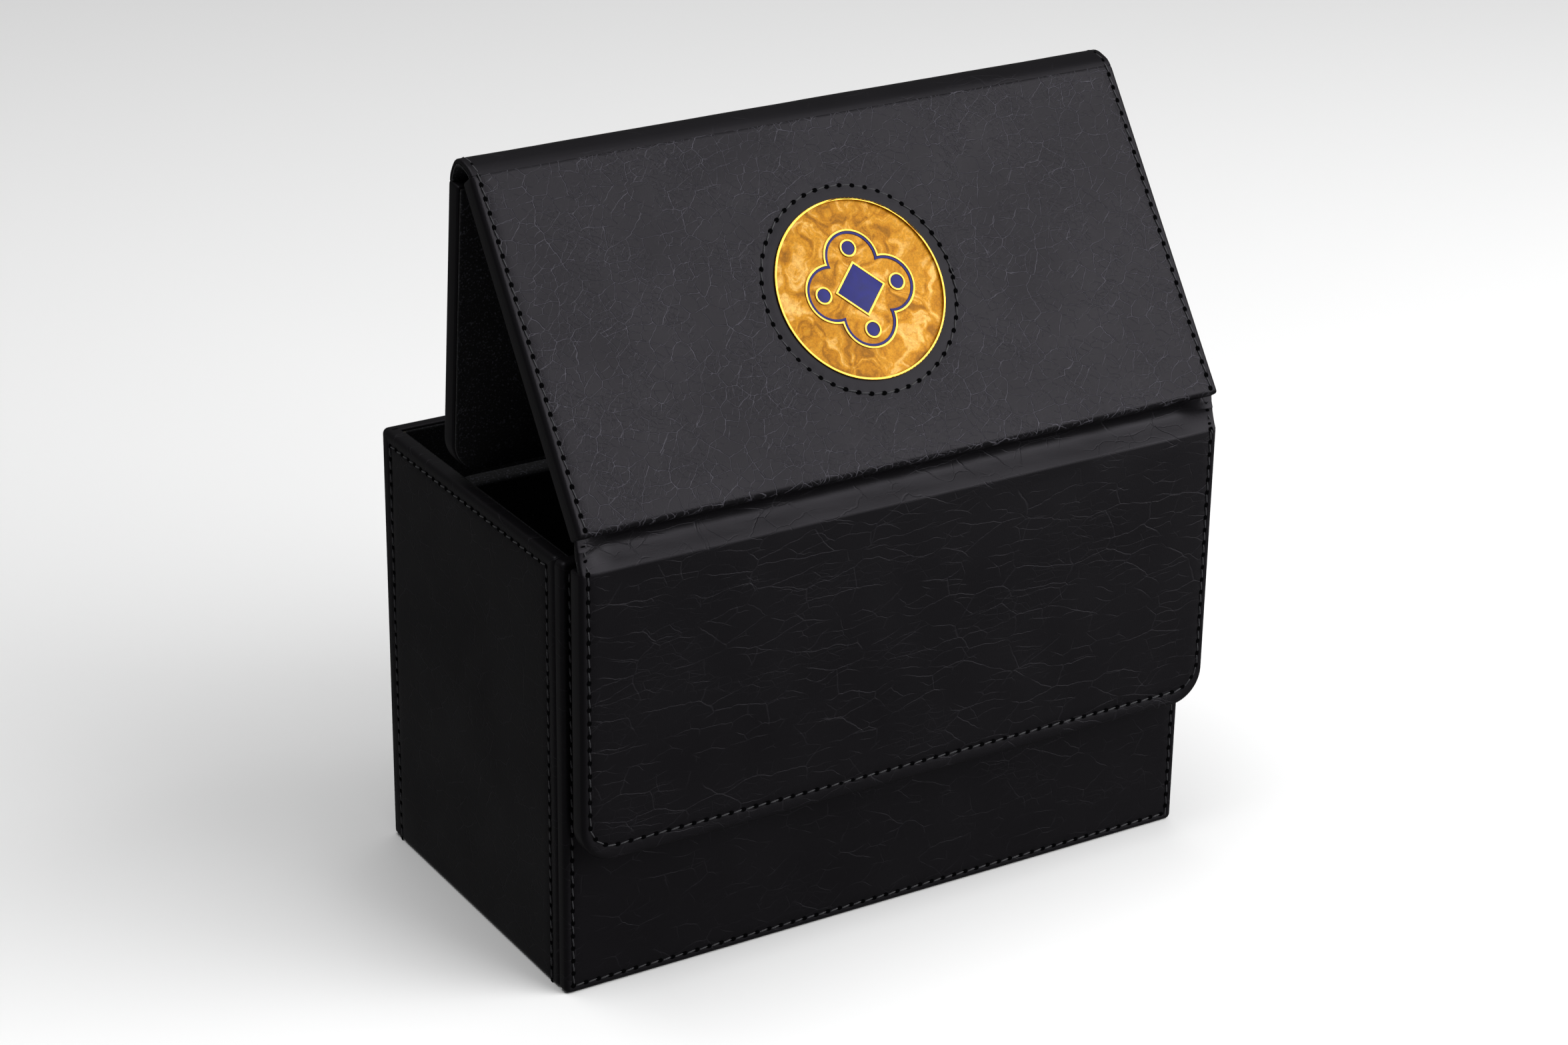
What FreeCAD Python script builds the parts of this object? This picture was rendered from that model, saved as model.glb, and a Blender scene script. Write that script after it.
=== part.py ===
"""Card deck box: an open rigid box of wrapped boards with a loose three-panel lid and a lift-out divider.

Frame: origin at the middle of the box's underside, +X to the right, +Y to the back, +Z up, millimetres.
The lid stands half open, as a tent: its front flap lies over the front wall, its top panel slopes up from a
soft spine, and its back flap hangs from a second spine and stands on the rims of the side walls.
"""

import FreeCAD
import Part
import math
import os

V = FreeCAD.Vector

# Driving dimensions of the box.
box_width = 158.0
box_depth = 83.0
box_height = 100.0

# Sheet materials of the box walls.
wall_board = 2.6
wall_cover = 0.7
wall_lining = 0.7
wall_edge_radius = 1.2

# Sheet materials and sizes of the lid panels.
lid_board = 3.8
lid_cover = 0.7
lid_lining = 0.7
lid_edge_radius = 1.2
lining_inset = 1.0
flap_length = 66.1
flap_corner_radius = 8.0
flap_gap = 2.9          # front wall to the lining of the front flap
flap_top_rise = 0.5     # top of the front flap above the rim

# Soft spines between the lid panels.
spine_width = 8.45      # laid flat, between two panels
spine_leather = 1.2
spine_lining = 0.8
spine_end_inset = 0.3   # spine's outer face to the panels' outer corners
crease_rise = 8.3       # top of the front flap to the top panel's lower corner
crease_shift = 0.3      # the same corner, back from the front flap's face
crease_relief = 16.0    # degrees left between the front spine's bend and the end face of the top panel
ridge_rise = 2.2        # top of the ridge above the top panel's upper corner
ridge_span = 10.5       # top panel's upper corner to the back flap's outer corner, along Y
ridge_drop = 3.7        # the same two corners, along Z
back_flap_lean = 5.1    # degrees from upright
back_flap_gap = 0.92    # foot of the back flap above the rims that it stands on

# Hinge lines of the two spines, from the corners that they join.
front_axis_out = 1.0    # outside the front flap's face
front_axis_rise = 4.1   # above the front flap's top
ridge_axis_back = 6.2   # behind the top panel's upper corner
ridge_axis_drop = 0.1   # below that corner

# Hidden magnets.
magnet_radius = 6.0
magnet_thickness = 1.5
magnet_spacing = 100.0
magnet_height = 50.0    # above the underside of the box

# Sewing thread, laid on the cover.
thread_width = 0.5
thread_height = 0.3
lid_seam_side = 1.8
lid_seam_end = 3.6
wall_seam_side = 1.8
wall_seam_bottom = 1.9
wall_seam_top = 3.0
side_seam_end = 3.4
side_seam_bottom = 0.5

# Medallion and its emblem.
medallion_radius = 20.0
medallion_clearance = 0.1
medallion_depth = 1.1   # into the top panel's board
medallion_proud = 0.4   # rim above the cover
medallion_rim = 0.5
medallion_field_drop = 0.5
medallion_seam_radius = 22.8
emblem_height = 0.25
emblem_line = 0.5
lobe_radius = 6.6
lozenge_half = 6.2
lozenge_line = 0.7
dot_radius = 2.0
dot_reach = 9.0         # dots to the middle of the medallion
enamel_height = 0.15
enamel_line = 0.55      # coloured line just inside the outline

# Divider.
divider_board = 3.6
divider_cover = 0.8
divider_top_drop = 7.0  # its top, below the rim
divider_front = 18.0    # its front face, behind the middle of the box
divider_side_clearance = 1.0
divider_corner_radius = 8.0
divider_top_radius = 0.6

wall = wall_board + wall_cover + wall_lining
wall_outer = wall_board + wall_cover
lid_thickness = lid_board + lid_cover + lid_lining
sheet_edge_radius = 0.8 * wall_cover
side_rear = box_depth / 2 - wall_cover
inner_x = box_width / 2 - wall
inner_y = box_depth / 2 - wall
floor_z = wall

nodes = {}


def block(x0, x1, y0, y1, z0, z1):
    """Return a box between two corners."""
    return Part.makeBox(x1 - x0, y1 - y0, z1 - z0, V(x0, y0, z0))


def disc(radius, z0, z1, x=0.0, y=0.0):
    """Return an upright cylinder."""
    return Part.makeCylinder(radius, z1 - z0, V(x, y, z0))


def soften(shape, radius, chosen):
    """Fillet the edges of a shape that the function chosen accepts."""
    edges = [edge for edge in shape.Edges if chosen(edge.BoundBox)]
    return shape.makeFillet(radius, edges)


def plate(half_width, y0, y1, z0, z1, low_radius=0.0, high_radius=0.0):
    """Return a flat plate in the XY plane, with its corners at y0 and at y1 rounded if asked."""
    shape = block(-half_width, half_width, y0, y1, z0, z1)
    for y, radius in ((y0, low_radius), (y1, high_radius)):
        if radius > 0:
            shape = soften(shape, radius, lambda b, y=y: b.ZLength > 0.9 * (z1 - z0)
                           and b.XLength < 1e-6 and abs(b.YMin - y) < 1e-6 and b.YLength < 1e-6)
    return shape


def seam(half_width, y0, y1, z, low_radius=0.0, high_radius=0.0, open_low=False, open_high=False):
    """Return a line of thread round a rectangle, left open at one end if asked."""
    w = thread_width
    inner_low = y0 - w if open_low else y0 + w
    inner_high = y1 + w if open_high else y1 - w
    outer = plate(half_width, y0, y1, z, z + thread_height, low_radius, high_radius)
    inner = plate(half_width - w, inner_low, inner_high, z - 1, z + thread_height + 1,
                  max(low_radius - w, 0.0), max(high_radius - w, 0.0))
    return outer.cut(inner)


def tray(half_width, y0, y1, depth, cover, radius, low_radius=0.0, high_radius=0.0):
    """Return a wrapped sheet: a cover over the top and the edges of a board, with its outer face at z = 0."""
    shape = plate(half_width, y0, y1, -depth, 0, low_radius, high_radius)
    shape = soften(shape, radius, lambda b: b.ZLength < 1e-6 and abs(b.ZMax) < 1e-6)
    return shape.cut(board_fill(half_width, y0, y1, depth, cover, low_radius, high_radius))


def board_fill(half_width, y0, y1, depth, cover, low_radius=0.0, high_radius=0.0):
    """Return the board that fills such a tray."""
    return plate(half_width - cover, y0 + cover, y1 - cover, -depth, -cover,
                 max(low_radius - cover, 0.0), max(high_radius - cover, 0.0))


def stand(shape, corner, angle, turn=0.0):
    """Tip a panel made in the XY plane by angle about X, turn it about Z and put its origin at corner."""
    tip = FreeCAD.Rotation(V(1, 0, 0), angle)
    about = FreeCAD.Rotation(V(0, 0, 1), turn)
    out = shape.copy()
    out.Placement = FreeCAD.Placement(corner, about.multiply(tip))
    return out


def magnet_pair(half_spacing, y, z0):
    """Return two magnets side by side."""
    return [disc(magnet_radius, z0, z0 + magnet_thickness, x, y) for x in (-half_spacing, half_spacing)]


def group(shapes):
    """Return separate solids as one compound."""
    return Part.makeCompound(shapes)


# Box walls. Each is made lying down, outer face up, and then stood on its edge.
def box_wall(name, half_width, corner, turn, magnets=False):
    """Add a wall's cover and board, with hidden magnets if asked."""
    cover = tray(half_width, 0, box_height, wall_outer, wall_cover, wall_edge_radius)
    board = board_fill(half_width, 0, box_height, wall_outer, wall_cover)
    if magnets:
        pair = magnet_pair(magnet_spacing / 2, magnet_height, -wall_outer)
        for magnet in pair:
            board = board.cut(magnet)
        nodes[name + "_magnets"] = stand(group(pair), corner, 90, turn)
    nodes[name + "_cover"] = stand(cover, corner, 90, turn)
    nodes[name + "_board"] = stand(board, corner, 90, turn)


front_corner = V(0, -box_depth / 2, 0)
box_wall("front_wall", box_width / 2, front_corner, 0, magnets=True)
front_seam = seam(box_width / 2 - wall_seam_side, wall_seam_bottom, box_height - wall_seam_top, 0)
nodes["front_wall_thread"] = stand(front_seam, front_corner, 90)

# The back wall's board sits between the side walls, and its cover laps over their rear ends.
back_corner = V(0, box_depth / 2, 0)
back_board_half = box_width / 2 - wall_outer
back_sheet = plate(box_width / 2, 0, box_height, -wall_cover, 0)
back_sheet = soften(back_sheet, sheet_edge_radius, lambda b: b.ZLength < 1e-6 and abs(b.ZMax) < 1e-6)
back_rim = plate(back_board_half, box_height - wall_cover, box_height, -wall_outer, -wall_cover)
back_board = plate(back_board_half, 0, box_height - wall_cover, -wall_outer, -wall_cover)
back_pair = magnet_pair(magnet_spacing / 2, magnet_height, -wall_outer)
for back_magnet in back_pair:
    back_board = back_board.cut(back_magnet)
back_seam = seam(box_width / 2 - wall_seam_side, wall_seam_bottom, box_height - wall_seam_top, 0)
nodes["back_wall_cover"] = stand(back_sheet.fuse(back_rim).removeSplitter(), back_corner, 90, 180)
nodes["back_wall_board"] = stand(back_board, back_corner, 90, 180)
nodes["back_wall_magnets"] = stand(group(back_pair), back_corner, 90, 180)
nodes["back_wall_thread"] = stand(back_seam, back_corner, 90, 180)

side_front = -box_depth / 2 + wall_outer
side_middle = (side_front + side_rear) / 2
side_half = (side_rear - side_front) / 2
for side, sign in (("left_wall", -1), ("right_wall", 1)):
    side_corner = V(sign * box_width / 2, side_middle, 0)
    box_wall(side, side_half, side_corner, 90 * sign)
    side_seam = seam(side_half - side_seam_end, side_seam_bottom, box_height - wall_seam_top, 0, open_low=True)
    nodes[side + "_thread"] = stand(side_seam, side_corner, 90, 90 * sign)

# Base, between the four walls.
base_x = box_width / 2 - wall_outer
base_front = -box_depth / 2 + wall_outer
base_back = box_depth / 2 - wall_outer
nodes["base_cover"] = block(-base_x, base_x, base_front, base_back, 0, wall_cover)
nodes["base_board"] = block(-base_x, base_x, base_front, base_back, wall_cover, wall_outer)
nodes["base_lining"] = block(-base_x, base_x, base_front, base_back, wall_outer, floor_z)

# Linings, glued inside the walls down to the base lining.
for name, y0, y1 in (("front_wall_lining", -inner_y - wall_lining, -inner_y),
                     ("back_wall_lining", inner_y, inner_y + wall_lining)):
    nodes[name] = block(-inner_x, inner_x, y0, y1, floor_z, box_height - wall_edge_radius)
for name, x0, x1 in (("left_wall_lining", -inner_x - wall_lining, -inner_x),
                     ("right_wall_lining", inner_x, inner_x + wall_lining)):
    nodes[name] = block(x0, x1, -inner_y - wall_lining, inner_y + wall_lining, floor_z,
                        box_height - wall_edge_radius)


# Lid panels. Each is made lying down with its outer face at z = 0, and y running along it.
def lid_panel(name, length, corner, angle, low_radius=0.0, high_radius=0.0, opening=None, magnet_y=None):
    """Add a lid panel's cover, board and lining, with an opening for the medallion or with hidden magnets."""
    half = box_width / 2
    depth = lid_cover + lid_board
    cover = tray(half, 0, length, depth, lid_cover, lid_edge_radius, low_radius, high_radius)
    board = board_fill(half, 0, length, depth, lid_cover, low_radius, high_radius)
    lining = plate(half - lining_inset, lining_inset, length - lining_inset, -lid_thickness, -depth,
                   max(low_radius - lining_inset, 0.0), max(high_radius - lining_inset, 0.0))
    if opening:
        cover = cover.cut(opening)
        board = board.cut(opening)
    if magnet_y is not None:
        pair = magnet_pair(magnet_spacing / 2, magnet_y, -depth)
        for magnet in pair:
            board = board.cut(magnet)
        nodes[name + "_magnets"] = stand(group(pair), corner, angle)
    nodes[name + "_cover"] = stand(cover, corner, angle)
    nodes[name + "_board"] = stand(board, corner, angle)
    nodes[name + "_lining"] = stand(lining, corner, angle)


def lid_point(corner, angle, along, inward=0.0):
    """Return the point that far along a lid panel, and that far in from its outer face."""
    a = math.radians(angle)
    return V(0, corner.y + along * math.cos(a) + inward * math.sin(a),
             corner.z + along * math.sin(a) - inward * math.cos(a))


flap_face = -box_depth / 2 - flap_gap - lid_thickness
flap_top = box_height + flap_top_rise
flap_corner = V(0, flap_face, flap_top - flap_length)
flap_angle = 90.0
lid_panel("front_flap", flap_length, flap_corner, flap_angle, low_radius=flap_corner_radius,
          magnet_y=magnet_height - flap_corner.z)
flap_seam = seam(box_width / 2 - lid_seam_side, lid_seam_end, flap_length, 0,
                 low_radius=flap_corner_radius - lid_seam_side, open_high=True)
nodes["front_flap_thread"] = stand(flap_seam, flap_corner, flap_angle)

# Shut, the top panel and both spines reach over the box and both flaps. Half open, the panel slopes up just
# enough for the back flap to stand on the rims.
top_panel_length = box_depth + 2 * (lid_thickness - spine_width)
top_corner = V(0, flap_face + crease_shift, flap_top + crease_rise)
lean = math.radians(back_flap_lean)
back_flap_foot = box_height + back_flap_gap + lid_thickness * math.sin(lean)
ridge_height = back_flap_foot + flap_length * math.cos(lean) + ridge_drop - top_corner.z
top_panel_slope = math.degrees(math.asin(ridge_height / top_panel_length))
medallion_y = top_panel_length / 2
recess = disc(medallion_radius + medallion_clearance, -lid_cover - medallion_depth, 1, 0, medallion_y)
lid_panel("top_panel", top_panel_length, top_corner, top_panel_slope, opening=recess)
top_side_seams = [block(x - thread_width / 2, x + thread_width / 2, 0, top_panel_length, 0, thread_height)
                  for x in (-box_width / 2 + lid_seam_side, box_width / 2 - lid_seam_side)]
nodes["top_panel_thread"] = stand(group(top_side_seams), top_corner, top_panel_slope)

top_upper = lid_point(top_corner, top_panel_slope, top_panel_length)
back_angle = back_flap_lean - 90.0
back_flap_corner = V(0, top_upper.y + ridge_span, top_upper.z - ridge_drop)
lid_panel("back_flap", flap_length, back_flap_corner, back_angle, high_radius=flap_corner_radius,
          magnet_y=box_height + flap_top_rise - magnet_height)
back_flap_seam = seam(box_width / 2 - lid_seam_side, 0, flap_length - lid_seam_end, 0,
                      high_radius=flap_corner_radius - lid_seam_side, open_low=True)
nodes["back_flap_thread"] = stand(back_flap_seam, back_flap_corner, back_angle)


# Spines: a strip of cover leather backed with lining, bent between the ends of two panels.
def strip(outer, inner):
    """Extrude the band between two three-point arcs over the width of the lid."""
    outline = Part.Wire([Part.Arc(*outer).toShape(), Part.makeLine(outer[2], inner[2]),
                         Part.Arc(*reversed(inner)).toShape(), Part.makeLine(inner[0], outer[0])])
    solid = Part.Face(outline).extrude(V(box_width, 0, 0))
    solid.translate(V(-box_width / 2, 0, 0))
    return solid


def spine(name, start, middle, end):
    """Add a spine's leather and lining. start, middle and end each give a point for a depth."""
    depths = (spine_end_inset, spine_end_inset + spine_leather, spine_end_inset + spine_leather + spine_lining)
    arcs = [(start(depth), middle(depth), end(depth)) for depth in depths]
    nodes[name + "_leather"] = strip(arcs[0], arcs[1])
    nodes[name + "_lining"] = strip(arcs[1], arcs[2])


def crease_start(depth):
    """Return the front spine's point at the top of the front flap."""
    return V(0, flap_face + depth, flap_top)


def crease_end(depth):
    """Return the front spine's point at the lower end of the top panel."""
    return lid_point(top_corner, top_panel_slope, 0, depth)


def crease_middle(depth):
    """Return the front spine's innermost point, which a bend that is less than the panel's slope gives."""
    chord = crease_end(depth) - crease_start(depth)
    sagitta = math.tan(math.radians(top_panel_slope - crease_relief) / 2) / 2
    return crease_start(depth) + chord * 0.5 + V(0, chord.z, -chord.y) * sagitta


spine("front_spine", crease_start, crease_middle, crease_end)
spine("ridge_spine",
      lambda depth: lid_point(top_corner, top_panel_slope, top_panel_length, depth),
      lambda depth: V(0, top_upper.y + ridge_span / 2, top_upper.z + ridge_rise + spine_end_inset - depth),
      lambda depth: lid_point(back_flap_corner, back_angle, 0, depth))

# Medallion, let into the top panel: a metal cup, an enamel field, raised emblem lines and coloured enamel.
cup_floor = -lid_cover - medallion_depth
field_top = medallion_proud - medallion_field_drop
cup = disc(medallion_radius, cup_floor, medallion_proud, 0, medallion_y)
cup = soften(cup, medallion_rim / 3, lambda b: b.ZLength < 1e-6 and abs(b.ZMax - medallion_proud) < 1e-6)
field_radius = medallion_radius - medallion_rim
field_floor = field_top - medallion_depth / 2
field = disc(field_radius, field_floor, field_top, 0, medallion_y)
cup = cup.cut(disc(field_radius, field_floor, medallion_proud + 1, 0, medallion_y))
directions = [math.radians(quarter * 90) for quarter in range(4)]


def quatrefoil(radius, height):
    """Return four overlapping lobes as one low solid on the enamel field."""
    lobes = [disc(radius, field_top, field_top + height, lobe_radius * math.cos(a),
                  medallion_y + lobe_radius * math.sin(a)) for a in directions]
    shape = lobes[0]
    for lobe in lobes[1:]:
        shape = shape.fuse(lobe)
    return shape.removeSplitter()


def lozenge(half, height):
    """Return a square standing on its corner, on the enamel field."""
    corners = [V(half * math.cos(a), medallion_y + half * math.sin(a), field_top) for a in directions]
    return Part.Face(Part.makePolygon(corners + corners[:1])).extrude(V(0, 0, height))


def dots(radius, height):
    """Return a round dot in each lobe."""
    return [disc(radius, field_top, field_top + height, dot_reach * math.cos(a),
                 medallion_y + dot_reach * math.sin(a)) for a in directions]


inner_radius = lobe_radius - emblem_line
outline = quatrefoil(lobe_radius, emblem_height).cut(quatrefoil(inner_radius, emblem_height))
outline = outline.cut(lozenge(lozenge_half, emblem_height))
frame_line = lozenge(lozenge_half, emblem_height).cut(lozenge(lozenge_half - lozenge_line, emblem_height))
rings = [ring.cut(core) for ring, core in zip(dots(dot_radius, emblem_height),
                                              dots(dot_radius - emblem_line, emblem_height))]
inner_line = quatrefoil(inner_radius, enamel_height).cut(quatrefoil(inner_radius - enamel_line, enamel_height))
for raised in [lozenge(lozenge_half, enamel_height)] + dots(dot_radius, enamel_height):
    inner_line = inner_line.cut(raised)
blue = [lozenge(lozenge_half - lozenge_line, enamel_height)] + dots(dot_radius - emblem_line, enamel_height)
blue.append(inner_line)
ring_seam = disc(medallion_seam_radius + thread_width / 2, 0, thread_height, 0, medallion_y).cut(
    disc(medallion_seam_radius - thread_width / 2, -1, thread_height + 1, 0, medallion_y))
for name, shape in (("medallion_cup", cup), ("medallion_field", field),
                    ("medallion_emblem", group([outline, frame_line] + rings)),
                    ("medallion_blue_enamel", group(blue)), ("medallion_thread", ring_seam)):
    nodes[name] = stand(shape, top_corner, top_panel_slope)

# Divider: a board in a wrapped sleeve that is open at its foot.
divider_half = inner_x - divider_side_clearance / 2
divider_height = box_height - divider_top_drop - floor_z
divider_depth = divider_board + 2 * divider_cover
sleeve = plate(divider_half, 0, divider_height, -divider_depth, 0, high_radius=divider_corner_radius)
core = plate(divider_half - divider_cover, 0, divider_height - divider_cover, -divider_depth + divider_cover,
             -divider_cover, high_radius=divider_corner_radius - divider_cover)
sleeve = soften(sleeve, divider_top_radius, lambda b: b.ZLength < 1e-6 and b.YMax > 1e-6)
divider_corner = V(0, divider_front, floor_z)
nodes["divider_cover"] = stand(sleeve.cut(core), divider_corner, 90)
nodes["divider_board"] = stand(core, divider_corner, 90)

# Hinge lines, for the joints.
front_axis = V(0, flap_face - front_axis_out, flap_top + front_axis_rise)
ridge_axis = V(0, top_upper.y + ridge_axis_back, top_upper.z - ridge_axis_drop)
print("front spine axis", tuple(round(v, 3) for v in front_axis))
print("ridge spine axis", tuple(round(v, 3) for v in ridge_axis))

os.makedirs("parts", exist_ok=True)
for name, shape in nodes.items():
    shape.exportStep("parts/" + name + ".step")
    solids = len(shape.Solids)
    print(name, "solids", solids, "volume", round(shape.Volume, 2), "valid", shape.isValid())
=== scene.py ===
"""The looks of a card deck box: an open box of boards wrapped in black leatherette, with a loose folding lid,
an enamelled medallion let into the lid's top panel, and a lift-out divider.
"""
import bpy
import bmesh
import math
import numpy as np
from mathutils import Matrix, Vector


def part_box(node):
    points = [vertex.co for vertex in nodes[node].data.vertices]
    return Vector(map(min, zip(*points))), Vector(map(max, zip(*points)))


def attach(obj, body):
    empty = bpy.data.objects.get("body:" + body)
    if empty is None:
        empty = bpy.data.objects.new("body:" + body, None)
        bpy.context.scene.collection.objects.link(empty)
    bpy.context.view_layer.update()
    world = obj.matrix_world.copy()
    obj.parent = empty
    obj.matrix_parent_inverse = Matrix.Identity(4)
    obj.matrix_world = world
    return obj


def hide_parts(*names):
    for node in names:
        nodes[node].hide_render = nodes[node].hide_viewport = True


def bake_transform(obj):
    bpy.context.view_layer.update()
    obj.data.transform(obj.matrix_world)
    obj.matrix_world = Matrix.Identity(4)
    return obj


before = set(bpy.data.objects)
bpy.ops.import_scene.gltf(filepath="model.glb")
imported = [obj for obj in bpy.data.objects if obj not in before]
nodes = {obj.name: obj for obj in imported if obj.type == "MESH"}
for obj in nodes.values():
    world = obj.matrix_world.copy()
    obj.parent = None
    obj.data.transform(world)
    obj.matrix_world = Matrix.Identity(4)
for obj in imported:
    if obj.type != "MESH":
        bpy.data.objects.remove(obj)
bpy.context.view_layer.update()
mm = 0.001


# ---------------------------------------------------------------- Studio
# A long lens from the front left and above, and a pale table top that the black film doesn't mirror. The
# sloped panel mirrors a large soft box at the front right, a second box hangs above, and a low one at the
# right lights the front.
camera_lens = 87.27
camera_turn = math.radians(-31.511)
camera_rise = math.radians(23.881)
camera_roll = math.radians(0.795)
camera_distance = 851.4 * mm
camera_aim = Vector((0, 0, 50 * mm))
camera_shift_right = -0.853 * mm
camera_shift_up = 23.77 * mm

camera_back = Vector((math.sin(camera_turn) * math.cos(camera_rise),
                      -math.cos(camera_turn) * math.cos(camera_rise),
                      math.sin(camera_rise)))
level_right = (-camera_back).cross(Vector((0, 0, 1))).normalized()
level_up = level_right.cross(-camera_back)
camera_right = level_right * math.cos(camera_roll) + level_up * math.sin(camera_roll)
camera_up = level_up * math.cos(camera_roll) - level_right * math.sin(camera_roll)
camera = bpy.data.objects.new("camera", bpy.data.cameras.new("camera"))
bpy.context.scene.collection.objects.link(camera)
camera.data.lens = camera_lens
camera.data.sensor_width = 36
camera.data.clip_start = 0.01
camera_place = (camera_aim + camera_back * camera_distance + camera_right * camera_shift_right
                + camera_up * camera_shift_up)
turn = camera.matrix_world.to_3x3()
turn.col[0], turn.col[1], turn.col[2] = camera_right, camera_up, camera_back
camera.matrix_world = turn.to_4x4()
camera.matrix_world.translation = camera_place
bpy.context.scene.camera = camera


def soft_box(name, direction, distance, side, watts, aim=Vector((0, 0, 0.09))):
    """Add a square area light that looks at the box from a direction."""
    light = bpy.data.lights.new(name, "AREA")
    light.shape = "SQUARE"
    light.size = side
    light.energy = watts
    lamp = bpy.data.objects.new(name, light)
    bpy.context.scene.collection.objects.link(lamp)
    lamp.location = aim + Vector(direction).normalized() * distance
    lamp.rotation_euler = Vector(direction).to_track_quat("Z", "Y").to_euler()
    return lamp


soft_box("key_box", (0.478, -0.633, 0.611), 1.3, 1.15, 18.5)
soft_box("top_box", (-0.15, 0.05, 1.0), 1.6, 1.2, 17)
soft_box("side_box", (0.75, -0.65, 0.12), 0.9, 0.5, 3)


def linear(code):
    """Turn an sRGB hex code into a linear colour."""
    parts = [int(code[i:i + 2], 16) / 255 for i in (1, 3, 5)]
    return [p / 12.92 if p <= 0.04045 else ((p + 0.055) / 1.055) ** 2.4 for p in parts] + [1.0]


def add(tree, kind, settings=None, inputs=None):
    """Add a node with its settings, and set or link its inputs by name or by number."""
    node = tree.nodes.new(kind)
    for key, value in (settings or {}).items():
        setattr(node, key, value)
    for key, value in (inputs or {}).items():
        if isinstance(value, bpy.types.NodeSocket):
            tree.links.new(value, node.inputs[key])
        else:
            node.inputs[key].default_value = value
    return node


def new_material(name, inputs):
    """Return a material, its node tree, its shader and its object coordinates."""
    material = bpy.data.materials.new(name)
    material.use_nodes = True
    tree = material.node_tree
    tree.nodes.clear()
    shader = add(tree, "ShaderNodeBsdfPrincipled", inputs=inputs)
    output = add(tree, "ShaderNodeOutputMaterial")
    tree.links.new(shader.outputs[0], output.inputs[0])
    place = add(tree, "ShaderNodeTexCoord").outputs["Object"]
    return material, tree, shader, place


room_light = 0.12
world = bpy.data.worlds.new("studio")
bpy.context.scene.world = world
world.use_nodes = True
world.node_tree.nodes["Background"].inputs["Color"].default_value = linear("#ffffff")
world.node_tree.nodes["Background"].inputs["Strength"].default_value = room_light
bpy.context.scene.view_settings.view_transform = "Standard"

# The table top is smooth white laminate, lit evenly.
floor_side = 6.0
floor_mesh = bpy.data.meshes.new("table_top")
half = floor_side / 2
floor_corners = [(-half, -half, 0), (half, -half, 0), (half, half, 0), (-half, half, 0)]
floor_mesh.from_pydata(floor_corners, [], [(0, 1, 2, 3)])
table_top = bpy.data.objects.new("table_top", floor_mesh)
bpy.context.scene.collection.objects.link(table_top)
laminate, tree, shader, place = new_material("white_laminate", {"Base Color": linear("#f4f4f4"),
                                                                "Roughness": 0.7})
floor_mesh.materials.append(laminate)
table_top.visible_glossy = False


# ---------------------------------------------------------------- Front wall
# A greyboard panel wrapped in black polyurethane leatherette. The sheet is glued over the board's edges, and
# one line of stitches runs round it just inside the edge.
box_low, box_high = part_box("front_wall_cover")
box_width = (box_high.x - box_low.x) / mm
box_height = (box_high.z - box_low.z) / mm
wall_depth = (box_high.y - box_low.y) / mm
box_front = box_low.y / mm
cover = 0.7  # the leatherette's thickness
edge_radius = 1.2  # where it folds over the board's edge
fold_radius = 0.6  # where it turns into a spine
fold_turn = math.radians(45)
foot_radius = 0.5  # where it turns in over the board's back
soft_corner = 1.4
grid_pitch = 0.85
line_gap = 0.3  # no two of the grid's lines lie closer, but for the close lines at edges and seams
seam_inset = 1.8
seam_top = 3.0
seam_bottom = 1.9
seam_reach = 8.0  # the seams round a panel all lie this close to its edge
stitch_pitch = 3.0
groove_depth = 0.2
groove_width = 0.55
wave_lengths = (46, 31, 22, 15, 11)
wave_height = 0.45


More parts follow.
